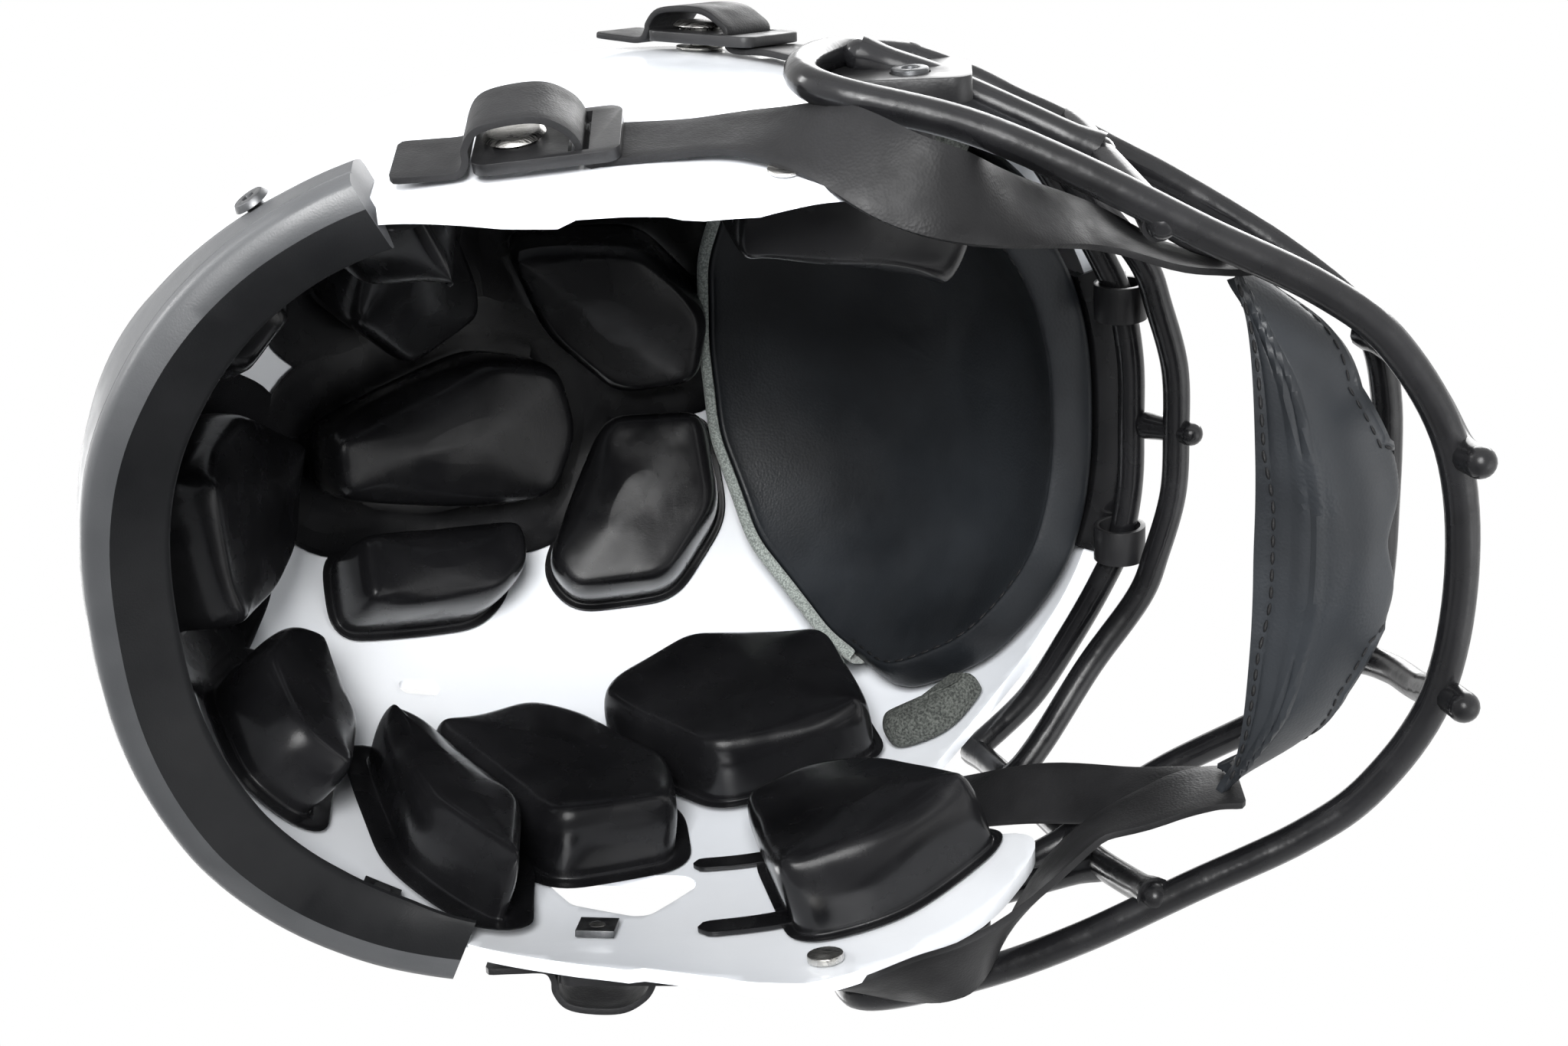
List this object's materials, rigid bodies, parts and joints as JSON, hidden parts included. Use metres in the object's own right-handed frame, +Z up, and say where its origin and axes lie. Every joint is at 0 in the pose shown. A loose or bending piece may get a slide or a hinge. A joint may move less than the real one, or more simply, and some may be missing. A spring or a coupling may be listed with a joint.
{
  "type": "football helmet",
  "caption": "Football helmet with a padded liner, a wire face mask that swings up, side release clips and a strapped chin cup.",
  "frame": {"origin": "under the middle of the overall box, on the surface the helmet stands on", "axes": "+Z up, -Y the wearer's front, +X the wearer's left"},
  "size_m": [0.2666, 0.3731, 0.2605],
  "materials": {
    "shell_white": "gloss",
    "bumper_satin": "satin",
    "gloss_black": "gloss",
    "pad_vinyl": "gloss",
    "foam_grey": "matte",
    "snap_nickel": "satin",
    "steel_dark": "satin",
    "strap_leatherette": "matte",
    "clip_plastic": "satin",
    "valve_rubber": "matte",
    "wire_coat": "gloss"
  },
  "bodies": {
    "helmet": {"shell": "shell_white", "rear_bumper": "bumper_satin", "front_bumper": "gloss_black", "front_pad": "pad_vinyl", "front_foam": "foam_grey", "crown_pad_front_left": "pad_vinyl", "crown_pad_front_right": "pad_vinyl", "crown_pad_centre": "pad_vinyl", "crown_pad_rear_left": "pad_vinyl", "crown_pad_rear_right": "pad_vinyl", "rear_pad_centre": "pad_vinyl", "rear_pad_left": "pad_vinyl", "rear_pad_right": "pad_vinyl", "nape_pad_left": "pad_vinyl", "nape_pad_right": "pad_vinyl", "side_pad_rear_left": "pad_vinyl", "side_pad_rear_right": "pad_vinyl", "side_pad_front_left": "pad_vinyl", "side_pad_front_right": "pad_vinyl", "jaw_pad_left": "pad_vinyl", "jaw_pad_right": "pad_vinyl", "jaw_snaps": "snap_nickel", "brow_clips": "clip_plastic", "brow_screws": "snap_nickel", "strap_studs": "snap_nickel", "stud_nuts": "steel_dark", "clip_sockets": "clip_plastic", "upper_buckles": "clip_plastic", "lower_buckles": "clip_plastic", "snap_caps": "snap_nickel", "upper_strap_left": "strap_leatherette", "upper_strap_right": "strap_leatherette", "lower_strap_left": "strap_leatherette", "lower_strap_right": "strap_leatherette", "valves": "valve_rubber", "bumper_screws": "steel_dark"},
    "facemask": {"brow_bar": "wire_coat", "second_bar": "wire_coat", "middle_bar": "wire_coat", "chin_bar": "wire_coat", "side_strut_left": "wire_coat", "side_strut_right": "wire_coat", "side_rail_left": "wire_coat", "side_rail_right": "wire_coat", "front_strut_left": "wire_coat", "front_strut_right": "wire_coat", "centre_strut": "wire_coat", "side_clip_left": "clip_plastic", "side_clip_right": "clip_plastic"},
    "release_left": {"release_button_left": "clip_plastic"},
    "release_right": {"release_button_right": "clip_plastic"},
    "chin_cup": {"chin_cup": "strap_leatherette", "cup_liner": "foam_grey"}
  },
  "joints": [
    {"name": "facemask_hinge", "type": "hinge", "parent": "helmet", "child": "facemask", "pos_m": [0, -0.10625, 0.1455], "axis": [-1, 0, 0], "range_deg": [0, 60]},
    {"name": "release_left_press", "type": "slide", "parent": "facemask", "child": "release_left", "axis": [-1, 0, 0], "range_m": [0, 0.0025], "stiffness_N_per_m": 600},
    {"name": "release_right_press", "type": "slide", "parent": "facemask", "child": "release_right", "axis": [1, 0, 0], "range_m": [0, 0.0025], "stiffness_N_per_m": 600},
    {"name": "chin_cup_tilt", "type": "hinge", "parent": "helmet", "child": "chin_cup", "pos_m": [0, -0.12745, 0.053], "axis": [-1, 0, 0], "range_deg": [-10, 10]}
  ]
}
